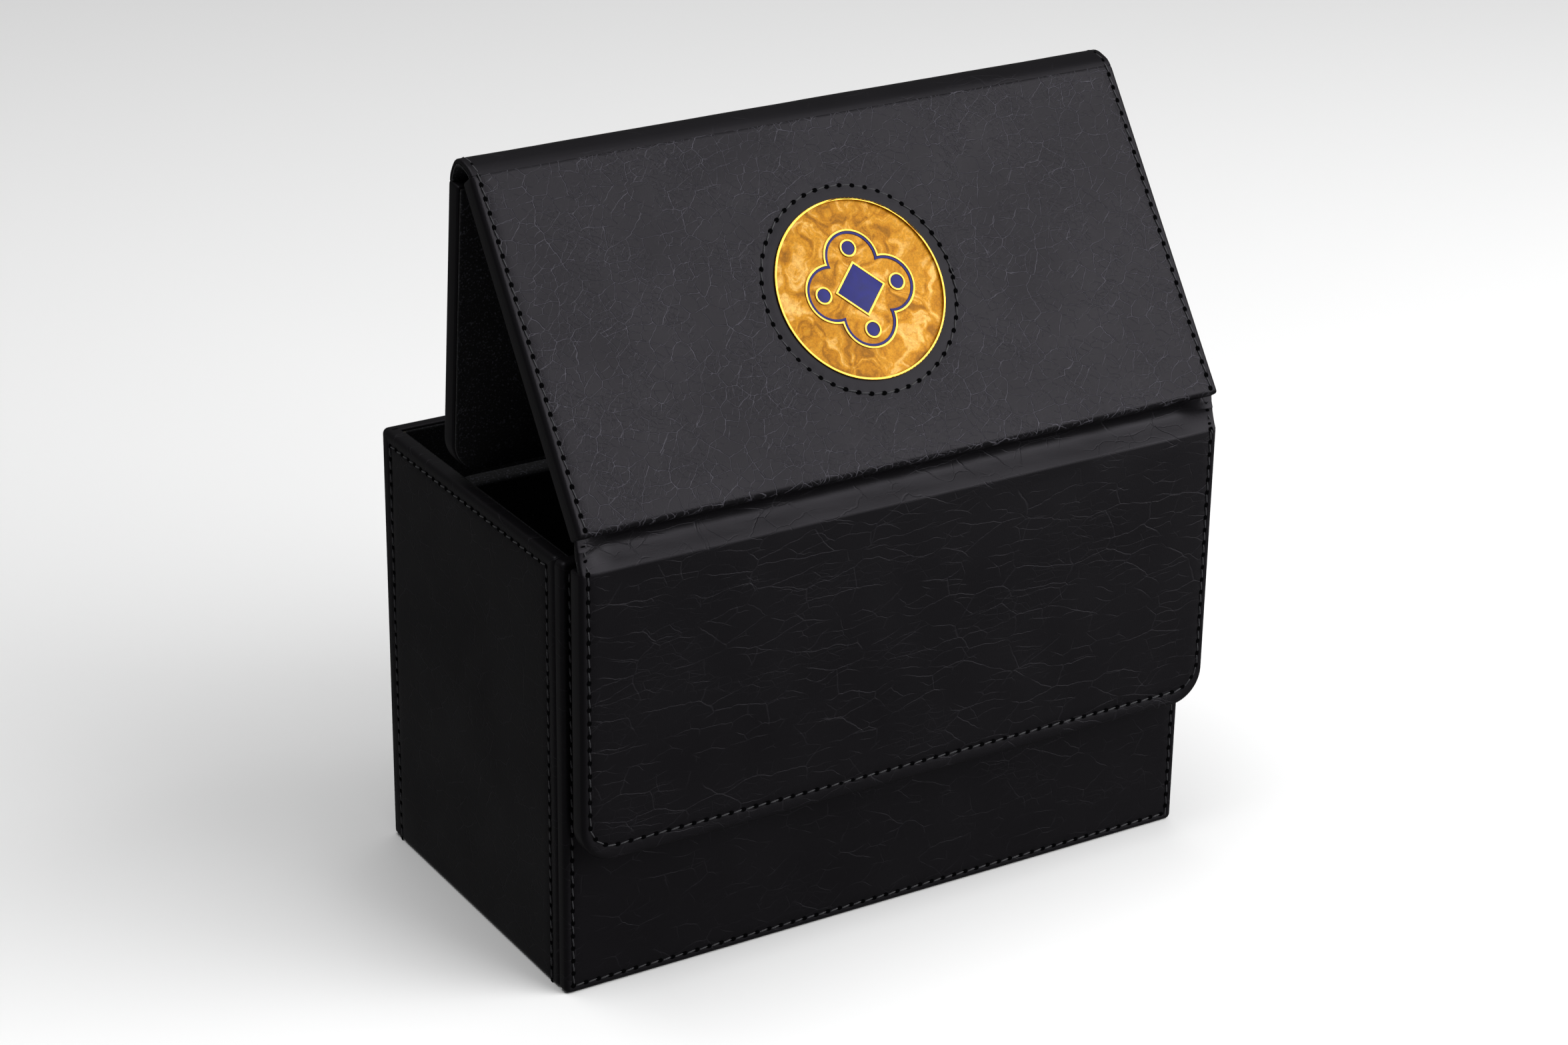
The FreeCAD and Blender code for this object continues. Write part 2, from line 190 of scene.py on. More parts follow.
def leatherette(name, cell, drawn, crease_depth, facing, share=1.0, crease_wear_and_highlight=0.5, bare_edge=False,
                smooth_ring=None):
    """Return polyurethane leatherette: satin black film on cloth, with a network of fine creases.

    cell is the height of its larger cells in mm, drawn how many times as long they are, facing the turn that
    lays the surface flat, share how much of the network shows, and crease_wear_and_highlight how far the
    creases are painted grey, as wear and as a painted highlight along them.
    The edge beyond the stitches can be bare, and so can a smooth_ring, given by its middle and radius.
    """
    film = {"Specular IOR Level": 0.17, "IOR": 1.5, "Specular Tint": linear("#f4effb")}
    material, tree, shader, place = new_material(name, film)

    def mixed(operation, first, second, third=0.0):
        inputs = {0: first, 1: second, 2: third}
        return add(tree, "ShaderNodeMath", {"operation": operation}, inputs).outputs[0]

    def ramp(value, low, high):
        return add(tree, "ShaderNodeMapRange", {"interpolation_type": "SMOOTHSTEP"},
                   {"Value": value, "From Min": low, "From Max": high}).outputs[0]

    # The creases wander, slowly and in small kinks: noise pushes the places where the cells are looked up.
    moved = place
    for size, push in ((7, 2.6), (1.6, 0.6)):
        noise = add(tree, "ShaderNodeTexNoise",
                    inputs={"Vector": place, "Scale": 1 / (size * mm), "Detail": 1.0})
        centred = add(tree, "ShaderNodeVectorMath", {"operation": "SUBTRACT"},
                      {0: noise.outputs["Color"], 1: (0.5, 0.5, 0.5)})
        moved = add(tree, "ShaderNodeVectorMath", {"operation": "MULTIPLY_ADD"},
                    {0: centred.outputs[0], 1: (push * mm, push * mm, push * mm), 2: moved}).outputs[0]
    laid = add(tree, "ShaderNodeMapping", inputs={"Vector": moved, "Rotation": facing}).outputs[0]
    stretched = add(tree, "ShaderNodeMapping", inputs={"Vector": laid, "Scale": (1 / drawn, 1, 1)}).outputs[0]

    def creases(size, half_width, shift, patch, low, high):
        """Return one network of creases, deepest at 1, that fades out between patches of a size in mm."""
        shifted = add(tree, "ShaderNodeVectorMath", {"operation": "ADD"},
                      {0: stretched, 1: (shift, shift, shift)})
        cells = add(tree, "ShaderNodeTexVoronoi", {"feature": "DISTANCE_TO_EDGE", "voronoi_dimensions": "2D"},
                    {"Vector": shifted.outputs[0], "Scale": 1 / (size * mm)})
        line = mixed("SUBTRACT", 1.0, ramp(cells.outputs["Distance"], 0.0, half_width / size))
        noise = add(tree, "ShaderNodeTexNoise",
                    inputs={"Vector": shifted.outputs[0], "Scale": 1 / (patch * mm)})
        return mixed("MULTIPLY", line, ramp(noise.outputs[0], low, high))

    wide = creases(cell, 0.14, 0.0, 6, 0.62 - 0.24 * share, 0.80 - 0.24 * share)
    narrow = creases(cell * 0.55, 0.12, 0.37, 4, 0.62 - 0.2 * share, 0.80 - 0.2 * share)
    hair = creases(cell * 0.3, 0.10, 0.71, 9, 0.66 - 0.2 * share, 0.84 - 0.2 * share)
    deep = mixed("MULTIPLY_ADD", hair, 0.4, mixed("MULTIPLY_ADD", narrow, 0.75, wide))
    if bare_edge:
        bare, creased = (box_width / 2 - 1.4) * mm, (box_width / 2 - 2.6) * mm
        axes = add(tree, "ShaderNodeSeparateXYZ", inputs={0: place}).outputs
        deep = mixed("MULTIPLY", deep, ramp(mixed("ABSOLUTE", axes[0], 0.0), bare, creased))
    if smooth_ring:
        away = add(tree, "ShaderNodeVectorMath", {"operation": "DISTANCE"}, {0: place, 1: smooth_ring[0]})
        deep = mixed("MULTIPLY", deep, ramp(away.outputs["Value"], smooth_ring[1], smooth_ring[1] + 2 * mm))
    # Fine pores of about a third of a millimetre give the satin its tooth.
    pores = add(tree, "ShaderNodeTexNoise", inputs={"Vector": place, "Scale": 1 / (0.4 * mm), "Detail": 3.0})
    height = mixed("MULTIPLY_ADD", pores.outputs[0], 0.35, mixed("MULTIPLY", deep, -1.0))
    bump = add(tree, "ShaderNodeBump",
               inputs={"Strength": 1.0, "Distance": crease_depth * mm, "Height": height})
    tree.links.new(bump.outputs[0], shader.inputs["Normal"])
    # The film is painted greyer along the creases: partly worn and stretched pigment, partly a painted
    # highlight on the creases' raised edges.
    tint = add(tree, "ShaderNodeMix", {"data_type": "RGBA"},
               {0: mixed("MULTIPLY", deep, crease_wear_and_highlight), 6: linear("#0b0a0c"), 7: linear("#605e66")})
    tree.links.new(tint.outputs[2], shader.inputs["Base Color"])
    cloudy = add(tree, "ShaderNodeTexNoise", inputs={"Vector": place, "Scale": 1 / (22 * mm), "Detail": 2.0})
    satin = add(tree, "ShaderNodeMapRange",
                inputs={"Value": cloudy.outputs[0], "From Min": 0.3, "From Max": 0.7,
                        "To Min": 0.42, "To Max": 0.5})
    tree.links.new(satin.outputs[0], shader.inputs["Roughness"])
    return material


def rounded_path(corners, radii, step=0.5):
    """Return points about a step apart along straight runs that round arcs join at the corners."""
    points = []
    for i, corner in enumerate(corners):
        here = np.array(corner, float)
        if i in (0, len(corners) - 1) or radii[i] == 0:
            points.append(here)
            continue
        before = np.array(corners[i - 1], float) - here
        after = np.array(corners[i + 1], float) - here
        before, after = before / np.linalg.norm(before), after / np.linalg.norm(after)
        half_turn = math.acos(np.clip(np.dot(before, after), -1, 1)) / 2
        middle = (before + after) / np.linalg.norm(before + after)
        centre = here + middle * radii[i] / math.sin(half_turn)
        start = here + before * radii[i] / math.tan(half_turn) - centre
        end = here + after * radii[i] / math.tan(half_turn) - centre
        sweep = math.acos(np.clip(np.dot(start, end) / radii[i] ** 2, -1, 1))
        for t in np.linspace(0, 1, max(3, int(sweep * radii[i] / step) + 1)):
            blended = start * math.sin((1 - t) * sweep) + end * math.sin(t * sweep)
            points.append(centre + blended / math.sin(sweep))
    dense = [points[0]]
    for a, b in zip(points, points[1:]):
        count = max(1, int(round(np.linalg.norm(b - a) / step)))
        dense += [a + (b - a) * k / count for k in range(1, count + 1)]
    return np.array(dense)


def lines_across(length, marks, low_fine, high_fine):
    """Return the places of a grid's lines along one side: even, and closer at rounded ends and at seams."""
    lines = list(np.linspace(0, length, int(length / grid_pitch) + 1))
    fine = []
    for at_low, wanted in ((True, low_fine), (False, high_fine)):
        if wanted:
            turns = [edge_radius * (1 - math.sin(math.radians(a))) for a in (90, 75, 60, 45, 30, 15, 0)]
            fine += [t if at_low else length - t for t in turns + [cover]]
    for mark in marks:
        fine += [mark + k * groove_width * 0.6 for k in (-2, -1, 0, 1, 2)]
    fine = [f for f in fine if 0 <= f <= length]
    lines = [p for p in lines if all(abs(p - f) > line_gap for f in fine)]
    places = sorted(lines + fine + [0.0, length])
    return np.array([p for i, p in enumerate(places) if i == 0 or p - places[i - 1] > 1e-4])


def flat_place(corner, along, out):
    """Return a function that puts local points, in mm, on a plane: x is to the right, y runs along."""
    corner, along, out = (np.array(v, float) for v in (corner, along, out))
    right = np.cross(along, out)

    def place_points(x, y, w):
        return corner + np.multiply.outer(x, right) + np.multiply.outer(y, along) + np.multiply.outer(w, out)
    return place_points


def make_piece(name, points, faces, material, body, smooth_angle=40):
    """Make a mesh piece from points in mm, merge what coincides and ride it on a body."""
    mesh = bpy.data.meshes.new(name)
    mesh.from_pydata((np.array(points) * mm).tolist(), [], faces)
    work = bmesh.new()
    work.from_mesh(mesh)
    bmesh.ops.remove_doubles(work, verts=work.verts, dist=2e-6)
    bmesh.ops.recalc_face_normals(work, faces=work.faces)
    work.to_mesh(mesh)
    work.free()
    mesh.shade_smooth()
    mesh.set_sharp_from_angle(angle=math.radians(smooth_angle))
    mesh.materials.append(material)
    piece = bpy.data.objects.new(name, mesh)
    bpy.context.scene.collection.objects.link(piece)
    if body:
        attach(piece, body)
    return piece


def with_hole_lines(places, middle, rings):
    """Return a grid's lines with new ones at the rings round a hole, and without those close to its edge."""
    kept = places[np.abs(np.abs(places - middle) - rings[0]) > 0.35]
    return np.array(sorted(set(kept.tolist() + [middle + s * r for s in (-1, 1) for r in rings])))


def rounded_outline(x, y, width, length, radii, hole):
    """Bend a square grid's corners round to the corner radii, and its middle round to a hole."""
    x, y = x.copy(), y.copy()
    for low, r in ((True, radii[0]), (False, radii[1])):
        if r <= 0:
            continue
        a = np.abs(x) - (width / 2 - r)
        b = (r - y) if low else (y - (length - r))
        inside = (a > 0) & (b > 0)
        scale = np.where(inside, np.maximum(a, b) / np.sqrt(np.maximum(a * a + b * b, 1e-12)), 1)
        new_x = np.sign(x) * (width / 2 - r + a * scale)
        new_y = (r - b * scale) if low else (length - r + b * scale)
        x, y = np.where(inside, new_x, x), np.where(inside, new_y, y)
    if hole:
        a, b = x, y - length / 2
        square = np.maximum(np.abs(a), np.abs(b))
        round_scale = square / np.sqrt(np.maximum(a * a + b * b, 1e-12))
        share = np.clip((square - hole["even"]) / (hole["square"] - hole["even"]), 0, 1)
        scale = round_scale + (1 - round_scale) * share * share * (3 - 2 * share)
        x, y = a * scale, length / 2 + b * scale
    return x, y


def edge_and_drop(u, v, width, length, radius, ends):
    """Return each point's distance from the wrapped edges, and how far the face falls away at it."""
    edge = width / 2 - np.abs(u)
    if ends[0] == "wrapped":
        edge = np.minimum(edge, v)
    if ends[1] == "wrapped":
        edge = np.minimum(edge, length - v)
    reach = np.clip(radius - edge, 0, radius)
    drop = radius - np.sqrt(np.maximum(radius ** 2 - reach ** 2, 0))
    soft_run = fold_radius * math.sin(fold_turn)
    for kind, distance in ((ends[0], v), (ends[1], length - v)):
        if kind == "soft":
            reach = np.clip(soft_run - distance, 0, soft_run)
            drop = drop + fold_radius - np.sqrt(fold_radius ** 2 - reach ** 2)
    return edge, drop


def slow_waves(x, y, seed):
    """Return the slight unevenness of glue under a sheet: gentle waves that run every way."""
    chance = np.random.default_rng(seed)
    waves = np.zeros_like(x)
    for wavelength in wave_lengths:
        angle, phase = chance.uniform(0, math.pi), chance.uniform(0, 2 * math.pi)
        run = x * math.cos(angle) + y * math.sin(angle)
        waves += wavelength / wave_lengths[0] * np.sin(2 * math.pi / wavelength * run + phase)
    return waves


def seam_groove(x, y, path):
    """Return how deep a seam pulls the sheet in at each point, a little more where the needle went in."""
    steps = np.linalg.norm(np.diff(path, axis=0), axis=1)
    along = np.concatenate([[0], np.cumsum(steps)])
    nearest, where = np.full(x.shape, 1e9), np.zeros(x.shape)
    for k in range(len(path)):
        distance = (x - path[k, 0]) ** 2 + (y - path[k, 1]) ** 2
        closer = distance < nearest
        nearest, where = np.where(closer, distance, nearest), np.where(closer, along[k], where)
    tightness = 1 + 0.35 * np.cos(2 * math.pi * where / stitch_pitch)
    return groove_depth * (np.exp(-nearest / (2 * groove_width ** 2)) * tightness)


def band(upper, lower):
    """Return the faces between two closed rings of point numbers."""
    fours = zip(upper, np.roll(upper, -1), np.roll(lower, -1), lower)
    return [tuple(int(k) for k in four) for four in fours]


def hole_edges(cells, rim):
    """Return the edges round the hole of a grid: those that one face uses and that aren't on the rim."""
    edges = dict.fromkeys((a, b) for cell in cells for a, b in zip(cell, cell[1:] + cell[:1]))
    outside = set(rim.tolist())
    return [(a, b) for a, b in edges if (b, a) not in edges and not (a in outside and b in outside)]


def wrapped(name, width, length, depth, place_points, material, body, radii=(soft_corner, soft_corner),
            ends=("wrapped", "wrapped"), seams=(), side_marks=(), end_marks=(), hollow=True, rumple=0.1,
            hole=None, seed=1, radius=edge_radius, foot=foot_radius, wander=None):
    """Make a sheet wrapped over a board, with rounded edges and a turned-in foot, hollow or filled.

    radii are the corner radii at the low and high end. An end is wrapped, soft where a spine goes on from it,
    or flush. The marks are where the grid needs closer lines, and wander adds folds of its own.
    """
    across = lines_across(width, [*side_marks, *[width - m for m in side_marks]], True, True)
    folds = [at for end, at in zip(ends, (0, length)) if end == "soft"]
    run = lines_across(length, [*end_marks, *folds], ends[0] == "wrapped", ends[1] == "wrapped")
    if hole:
        rings = [hole["radius"], hole["radius"] - hole["lip"]]
        across = with_hole_lines(across, width / 2, rings)
        run = with_hole_lines(run, length / 2, rings)
    u, v = np.meshgrid(across - width / 2, run, indexing="ij")
    edge, drop = edge_and_drop(u, v, width, length, radius, ends)
    x, y = rounded_outline(u, v, width, length, radii, hole)
    calm = np.clip(edge / 4, 0, 1) * np.clip(np.minimum(v, length - v) / 3, 0, 1)
    w = -drop + rumple * wave_height * slow_waves(x, y, seed) * calm
    if wander is not None:
        w = w + wander(x, y) * calm
    near = np.ones_like(edge, bool) if hole else edge < seam_reach
    for path in seams:
        w[near] -= seam_groove(x[near], y[near], path)
    numbers = np.arange(u.size).reshape(u.shape)
    rim = np.concatenate([numbers[:, 0], numbers[-1, 1:], numbers[-2::-1, -1], numbers[0, -2:0:-1]])
    used = np.ones((u.shape[0] - 1, u.shape[1] - 1), bool)
    if hole:
        middle_u = (u[:-1, :-1] + u[1:, 1:]) / 2
        middle_v = (v[:-1, :-1] + v[1:, 1:]) / 2 - length / 2
        used = np.maximum(np.abs(middle_u), np.abs(middle_v)) > rings[1]
        lip = np.maximum(np.abs(u), np.abs(v - length / 2)) <= rings[1] + 1e-6
        w = np.where(lip, -hole["lip"], w)
    corners = (numbers[:-1, :-1], numbers[1:, :-1], numbers[1:, 1:], numbers[:-1, 1:])
    cells = list(zip(*(corner[used].tolist() for corner in corners)))
    points, faces = [place_points(x.ravel(), y.ravel(), w.ravel())], list(cells)

    # The edge goes down in rings and turns in at the foot. A hollow sheet ends at its own thickness.
    turns = [math.radians(a) for a in (90, 60, 30, 0)]
    levels = [(foot * (1 - math.sin(t)), -depth + foot * (1 - math.cos(t))) for t in turns]
    if hollow:
        levels.append((cover, -depth))
    ring, count = rim, u.size
    for inset, level in levels:
        ring_u = np.clip(u.ravel()[rim], -width / 2 + inset, width / 2 - inset)
        ring_v = np.clip(v.ravel()[rim], inset, length - inset)
        ring_x, ring_y = rounded_outline(ring_u, ring_v, width, length, radii, hole)
        points.append(place_points(ring_x, ring_y, np.full(len(rim), float(level))))
        lower = np.arange(count, count + len(rim))
        faces += band(ring, lower)
        ring, count = lower, count + len(rim)

    inset, inner_level = (cover, -cover) if hollow else (foot, -depth)
    inner_u = np.clip(u, -width / 2 + inset, width / 2 - inset)
    inner_x, inner_y = rounded_outline(inner_u, np.clip(v, inset, length - inset), width, length, radii, hole)
    points.append(place_points(inner_x.ravel(), inner_y.ravel(), np.full(u.size, float(inner_level))))
    faces += [tuple(k + count for k in reversed(cell)) for cell in cells]
    if hollow:
        faces += band(ring, rim + count)
    if hole:
        faces += [(b, a, a + count, b + count) for a, b in hole_edges(cells, rim)]
    return make_piece(name, np.concatenate(points), faces, material, body)


def side_seams(start, end, count):
    """Return the two straight seam paths along the left and right sides of a sheet of the lid."""
    return [np.array([(s * seam_x, y) for y in np.linspace(start, end, count)]) for s in (-1, 1)]


quarter_turn = math.radians(90)
upright = (-quarter_turn, 0, 0)
smooth_black = leatherette("wall_leatherette", 6, 1.8, 0.04, upright, share=0.75, crease_wear_and_highlight=0.03)
front_place = flat_place((0, box_front, 0), (0, 0, 1), (0, -1, 0))
seam_x = box_width / 2 - seam_inset
rim_seam = box_height - seam_top
front_path = rounded_path([(-seam_x, seam_bottom), (seam_x, seam_bottom), (seam_x, rim_seam),
                           (-seam_x, rim_seam), (-seam_x, seam_bottom)], [0, 0, 0, 0, 0])
front_wall = wrapped("front_wall_leatherette", box_width, box_height, wall_depth, front_place, smooth_black,
                     "box", seams=[front_path], side_marks=[seam_inset], end_marks=[seam_bottom, rim_seam],
                     seed=3)
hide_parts("front_wall_cover")


# ---------------------------------------------------------------- Side walls
# Narrower panels of the same board and leatherette. They meet the front wall in a butt joint, and the back
# wall's sheet laps over their rear ends.
side_black = leatherette("side_leatherette", 6, 1.5, 0.06, (-quarter_turn, -quarter_turn, 0), share=0.8,
                         crease_wear_and_highlight=0.05)
side_place = {}
side_paths = {}
seam_side = 3.4
seam_foot = 0.5  # the seams of the side walls start just above the table
for side, sign in (("left_wall", -1), ("right_wall", 1)):
    low, high = (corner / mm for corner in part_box(side + "_cover"))
    side_width = high.y - low.y
    side_place[side] = flat_place((sign * box_width / 2, (low.y + high.y) / 2, 0), (0, 0, 1), (sign, 0, 0))
    seam_y = side_width / 2 - seam_side
    side_paths[side] = rounded_path([(-seam_y, seam_foot), (-seam_y, rim_seam), (seam_y, rim_seam),
                                     (seam_y, seam_foot)], [0, 0, 0, 0])
    wall = wrapped(side + "_leatherette", side_width, box_height, wall_depth, side_place[side], side_black,
                   "box", seams=[side_paths[side]], side_marks=[seam_side], end_marks=[rim_seam],
                   seed=5 + sign)
    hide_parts(side + "_cover")


# ---------------------------------------------------------------- Back wall
# The back is a board in a sheet of leatherette, like the front. It is as wide as the box, and its sheet is
# folded over the rim and sewn along the same line.
back_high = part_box("back_wall_cover")[1] / mm
back_place = flat_place((0, back_high.y, 0), (0, 0, 1), (0, 1, 0))
back_path = front_path
back_wall = wrapped("back_wall_leatherette", box_width, box_height, wall_depth, back_place, smooth_black,
                    "box", seams=[back_path], side_marks=[seam_inset], end_marks=[seam_bottom, rim_seam],
                    seed=8)
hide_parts("back_wall_cover")


# ---------------------------------------------------------------- Base
# A flat board between the walls, with leatherette under it. It carries the whole box.
base_low, base_high = (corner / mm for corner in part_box("base_cover"))
base_place = flat_place((0, base_low.y, base_low.z), (0, 1, 0), (0, 0, -1))
base_sheet = wrapped("base_leatherette", base_high.x - base_low.x, base_high.y - base_low.y,
                     base_high.z - base_low.z, base_place, smooth_black, "box", radii=(0.6, 0.6),
                     hollow=False, rumple=0.0, radius=0.15)
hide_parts("base_cover")


# ---------------------------------------------------------------- Linings of the box
# Black microfibre suede, glued to the inside of the walls and the base. Its nap scatters light and shows
# lighter and darker strokes where it has been brushed.
def suede(name, nap_size=14, colour="#080809", brushed="#101012", glint_colour="#34343a"):
    """Return microfibre suede: matt, with a soft sheen at grazing angles, a short felted nap and painted
    glints as pale flecks.
    """
    nap = {"Roughness": 0.95, "Specular IOR Level": 0.12, "Sheen Weight": 0.10, "Sheen Roughness": 0.4}
    material, tree, shader, place = new_material(name, nap)
    strokes = add(tree, "ShaderNodeTexNoise",
                  inputs={"Vector": place, "Scale": 1 / (nap_size * mm), "Detail": 3.0})
    tint = add(tree, "ShaderNodeMix", {"data_type": "RGBA"},
               {0: strokes.outputs[0], 6: linear(colour), 7: linear(brushed)})
    fibres = add(tree, "ShaderNodeTexNoise",
                 inputs={"Vector": place, "Scale": 1 / (0.45 * mm), "Detail": 3.0})
    # Pale flecks on the fibre ends are painted glints of light on the nap.
    glint_flecks = add(tree, "ShaderNodeMapRange",
               inputs={"Value": fibres.outputs[0], "From Min": 0.56, "From Max": 0.74})
    flecked = add(tree, "ShaderNodeMix", {"data_type": "RGBA"},
                  {0: glint_flecks.outputs[0], 6: tint.outputs[2], 7: linear(glint_colour)})
    bump = add(tree, "ShaderNodeBump",
               inputs={"Strength": 0.9, "Distance": 0.12 * mm, "Height": fibres.outputs[0]})
    tree.links.new(flecked.outputs[2], shader.inputs["Base Color"])
    tree.links.new(bump.outputs[0], shader.inputs["Normal"])
    return material


black_suede = suede("microfibre_suede")


suede_foot = 0.2
suede_edge = 0.25


def lining_sheet(name, low, high, along, out, seed):
    """Make a glued suede sheet with softly cut edges that fills the box between two corners."""
    low, high, along, out = (np.array(v, float) for v in (low, high, along, out))
    right = np.cross(along, out)
    size = high - low
    width, length, depth = (abs(np.dot(size, axis)) for axis in (right, along, out))
    middle = (low + high) / 2
    corner = middle - along * length / 2 + out * depth / 2
    return wrapped(name, width, length, depth, flat_place(corner, along, out), black_suede, "box",
                   radii=(0.8, 0.8), hollow=False, rumple=0.05, seed=seed, radius=min(suede_edge, depth / 2),
                   foot=suede_foot)


for lined, along, out in (("front_wall", (0, 0, 1), (0, 1, 0)), ("back_wall", (0, 0, 1), (0, -1, 0)),
                          ("left_wall", (0, 0, 1), (1, 0, 0)), ("right_wall", (0, 0, 1), (-1, 0, 0)),
                          ("base", (0, 1, 0), (0, 0, 1))):
    low, high = (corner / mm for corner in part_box(lined + "_lining"))
    if lined != "base":
        high.z = box_height - cover + 0.1
    sheet = lining_sheet(lined + "_suede", low, high, along, out, seed=len(lined))
    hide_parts(lined + "_lining")


# ---------------------------------------------------------------- Boards and magnets
# Stiff greyboard of pressed paper pulp, glued inside the wrapping. Round nickel-plated magnets are let in.
greyboard, tree, shader, place = new_material("greyboard", {"Roughness": 0.9, "Specular IOR Level": 0.2})
pulp = add(tree, "ShaderNodeTexNoise", inputs={"Vector": place, "Scale": 1 / (0.8 * mm), "Detail": 4.0})
shade = add(tree, "ShaderNodeMix", {"data_type": "RGBA"},
            {0: pulp.outputs[0], 6: linear("#7d766b"), 7: linear("#a39c90")})
fuzz = add(tree, "ShaderNodeBump", inputs={"Distance": 0.05 * mm, "Height": pulp.outputs[0]})
tree.links.new(shade.outputs[2], shader.inputs["Base Color"])
tree.links.new(fuzz.outputs[0], shader.inputs["Normal"])

nickel, tree, shader, place = new_material("nickel_plate", {"Base Color": linear("#b9b6ae"), "Metallic": 1.0})
haze = add(tree, "ShaderNodeTexNoise", inputs={"Vector": place, "Scale": 1 / (1.5 * mm), "Detail": 2.0})
dull = add(tree, "ShaderNodeMapRange", inputs={"Value": haze.outputs[0], "To Min": 0.2, "To Max": 0.34})
tree.links.new(dull.outputs[0], shader.inputs["Roughness"])

for node_name, node in nodes.items():
    if node_name.endswith("_board") or node_name.endswith("_magnets"):
        node.data.materials.clear()
        node.data.materials.append(greyboard if node_name.endswith("_board") else nickel)


# ---------------------------------------------------------------- Lid panels
# Three boards in one sheet of leatherette. The front flap and the top panel show the printed creases most.
# The flaps have rounded free corners, and the ends beside the spines stay soft.
flap_creased = leatherette("flap_leatherette", 5.5, 2.4, 0.05, upright, share=0.95, crease_wear_and_highlight=0.035,
                           bare_edge=True)
ridge_smooth = leatherette("ridge_leatherette", 6, 3, 0.03, (0, 0, 0), share=0.55, crease_wear_and_highlight=0.03,
                           bare_edge=True)
seam_end = 3.6
flap_low, flap_high = (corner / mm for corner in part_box("front_flap_cover"))
flap_length = flap_high.z - flap_low.z
lid_depth = flap_high.y - flap_low.y
flap_radius = 8.0
soft_end = 0.6
flap_place = flat_place((0, flap_low.y, flap_low.z), (0, 0, 1), (0, -1, 0))
seam_turn = flap_radius - seam_inset
flap_path = rounded_path([(-seam_x, flap_length), (-seam_x, seam_end), (seam_x, seam_end),
                          (seam_x, flap_length)], [0, seam_turn, seam_turn, 0])
front_flap = wrapped("front_flap_leatherette", box_width, flap_length, lid_depth, flap_place, flap_creased,
                     "front_flap", radii=(flap_radius, soft_end), ends=("wrapped", "soft"), seams=[flap_path],
                     side_marks=[seam_inset], end_marks=[seam_end], seed=11, rumple=0.14)
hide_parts("front_flap_cover")

top_length = 76.5
top_slope = math.radians(54.295)
crease_run, crease_rise = 0.3, 8.3  # from the flap's upper edge to the top panel's lower edge
top_corner = np.array([0, flap_low.y + crease_run, flap_high.z + crease_rise])
top_along = np.array([0, math.cos(top_slope), math.sin(top_slope)])
top_out = np.array([0, -math.sin(top_slope), math.cos(top_slope)])
top_place = flat_place(top_corner, top_along, top_out)
medallion_radius = 20.0
medallion_gap = 0.1
ring_radius = 22.8
smooth_radius = 22.5
medallion_middle = top_corner + top_along * top_length / 2
# The top panel's creases are painted much greyer than the other panels': wear, and a painted highlight on the
# lit slope.
top_creased = leatherette("top_leatherette", 3.8, 1.2, 0.1, (-top_slope, 0, 0), share=1.2, crease_wear_and_highlight=0.4,
                          bare_edge=True, smooth_ring=(medallion_middle * mm, smooth_radius * mm))
ring_path = np.array([(ring_radius * math.cos(a), top_length / 2 + ring_radius * math.sin(a))
                      for a in np.linspace(0, 2 * math.pi, 300)])
top_seam_start = 1.3
top_sides = side_seams(top_seam_start, top_length - soft_end, 160)
# The grid round the hole is round as far out as "even", and straight again from "square" on.
medallion_hole = {"radius": medallion_radius + medallion_gap, "lip": cover, "even": 26.0, "square": 34.0}
top_panel = wrapped("top_panel_leatherette", box_width, top_length, lid_depth, top_place, top_creased,
                    "top_panel", radii=(soft_end, soft_end), ends=("wrapped", "soft"),
                    seams=[ring_path, *top_sides], side_marks=[seam_inset], seed=21, rumple=0.12,
                    hole=medallion_hole)
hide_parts("top_panel_cover")

top_upper = top_corner + top_along * top_length
back_lean = math.radians(5.1)
ridge_run, ridge_fall = 10.5, 3.7  # from the top panel's upper edge to the back flap's
back_corner = top_upper + np.array([0, ridge_run, -ridge_fall])
back_along = np.array([0, math.sin(back_lean), -math.cos(back_lean)])
back_out = np.array([0, math.cos(back_lean), math.sin(back_lean)])
back_flap_place = flat_place(back_corner, back_along, back_out)
free_seam = flap_length - seam_end
back_flap_path = rounded_path([(-seam_x, 0), (-seam_x, free_seam), (seam_x, free_seam), (seam_x, 0)],
                              [0, seam_turn, seam_turn, 0])
back_flap = wrapped("back_flap_leatherette", box_width, flap_length, lid_depth, back_flap_place, flap_creased,
                    "back_flap", radii=(soft_end, flap_radius), ends=("soft", "wrapped"),
                    seams=[back_flap_path], side_marks=[seam_inset], end_marks=[free_seam], seed=31,
                    rumple=0.14)
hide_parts("back_flap_cover")


# ---------------------------------------------------------------- Linings of the lid
# The same suede is glued over the turned-in edges of each panel, just inside its outline.
lining_inset = 0.55
lining_depth = 0.7
lining_radius = flap_radius - 1


def turned_over(place_points):
    """Return a function that puts a lining's local points on the inner face of a panel."""
    def inner_side(x, y, w):
        return place_points(-x, y + lining_inset, -lid_depth - lining_depth - w)
    return inner_side


for panel, length, place_points, radii in (
        ("front_flap", flap_length, flap_place, (lining_radius, soft_end)),
        ("top_panel", top_length, top_place, (soft_end, soft_end)),
        ("back_flap", flap_length, back_flap_place, (soft_end, lining_radius))):
    sheet = wrapped(panel + "_suede", box_width - 2 * lining_inset, length - 2 * lining_inset, lining_depth,
                    turned_over(place_points), black_suede, panel, radii=radii, hollow=False, rumple=0.04,
                    radius=suede_edge, foot=suede_foot)
    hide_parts(panel + "_lining")


# ---------------------------------------------------------------- Spines
# Between the panels the sheet has no board in it, so it creases there and, on the real lid, bends as the lid
# moves. Here each spine is made once in its rest shape. Suede backs the leatherette on the inside.
spine_narrowing = 0.6
spine_sheet = 0.9
spine_suede = 0.6
spine_foot = 0.15
end_run, end_fade = 9.0, 8.0  # the filled ends reach this far in from the sides, and fade over this length


